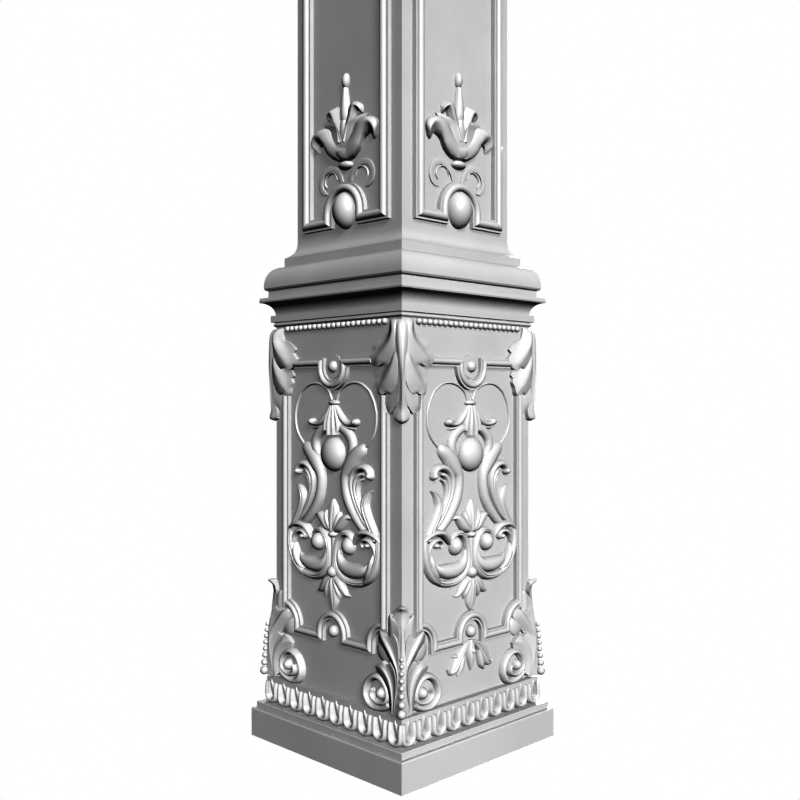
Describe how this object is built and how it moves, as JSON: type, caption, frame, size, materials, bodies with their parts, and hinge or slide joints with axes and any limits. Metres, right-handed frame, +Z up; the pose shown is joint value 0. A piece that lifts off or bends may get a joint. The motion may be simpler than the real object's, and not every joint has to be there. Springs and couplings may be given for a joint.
{
  "type": "newel post",
  "caption": "Square painted wooden newel post: plinth, carved and framed pedestal with corner leaves, moulded waist, narrower framed shaft with flowers, plain rail block and cap.",
  "frame": {"origin": "centre of the plinth's underside, on the floor", "axes": "+Z up along the post; the front face looks along -Y and the right face along +X, each square to a side of the plinth"},
  "size_m": [0.2, 0.2, 1.2],
  "materials": {
    "painted_wood": "smooth grey-white paint, satin"
  },
  "bodies": {
    "root": {"plinth": "painted_wood", "base_moulding": "painted_wood", "pedestal": "painted_wood", "waist_moulding": "painted_wood", "shaft": "painted_wood", "neck_moulding": "painted_wood", "rail_block": "painted_wood", "cap_moulding": "painted_wood", "cap": "painted_wood", "pedestal_frame_front": "painted_wood", "pedestal_frame_right": "painted_wood", "pedestal_frame_back": "painted_wood", "pedestal_frame_left": "painted_wood", "top_rail_front": "painted_wood", "top_rail_right": "painted_wood", "top_rail_back": "painted_wood", "top_rail_left": "painted_wood", "pearl_string_front": "painted_wood", "pearl_string_right": "painted_wood", "pearl_string_back": "painted_wood", "pearl_string_left": "painted_wood", "upper_leaf_front_right": "painted_wood", "upper_leaf_back_right": "painted_wood", "upper_leaf_back_left": "painted_wood", "upper_leaf_front_left": "painted_wood", "lower_leaf_front_right": "painted_wood", "lower_leaf_back_right": "painted_wood", "lower_leaf_back_left": "painted_wood", "lower_leaf_front_left": "painted_wood", "panel_carving_front": "painted_wood", "panel_carving_right": "painted_wood", "panel_carving_back": "painted_wood", "panel_carving_left": "painted_wood", "roundel_front": "painted_wood", "roundel_right": "painted_wood", "roundel_back": "painted_wood", "roundel_left": "painted_wood", "arch_pearl_front": "painted_wood", "arch_pearl_right": "painted_wood", "arch_pearl_back": "painted_wood", "arch_pearl_left": "painted_wood", "pendant_right": "painted_wood", "pendant_left": "painted_wood", "shaft_frame_front": "painted_wood", "shaft_frame_right": "painted_wood", "shaft_frame_back": "painted_wood", "shaft_frame_left": "painted_wood", "shaft_ball_front": "painted_wood", "shaft_ball_right": "painted_wood", "shaft_ball_back": "painted_wood", "shaft_ball_left": "painted_wood", "shaft_flower_front": "painted_wood", "shaft_flower_right": "painted_wood", "shaft_flower_back": "painted_wood", "shaft_flower_left": "painted_wood"}
  },
  "joints": []
}
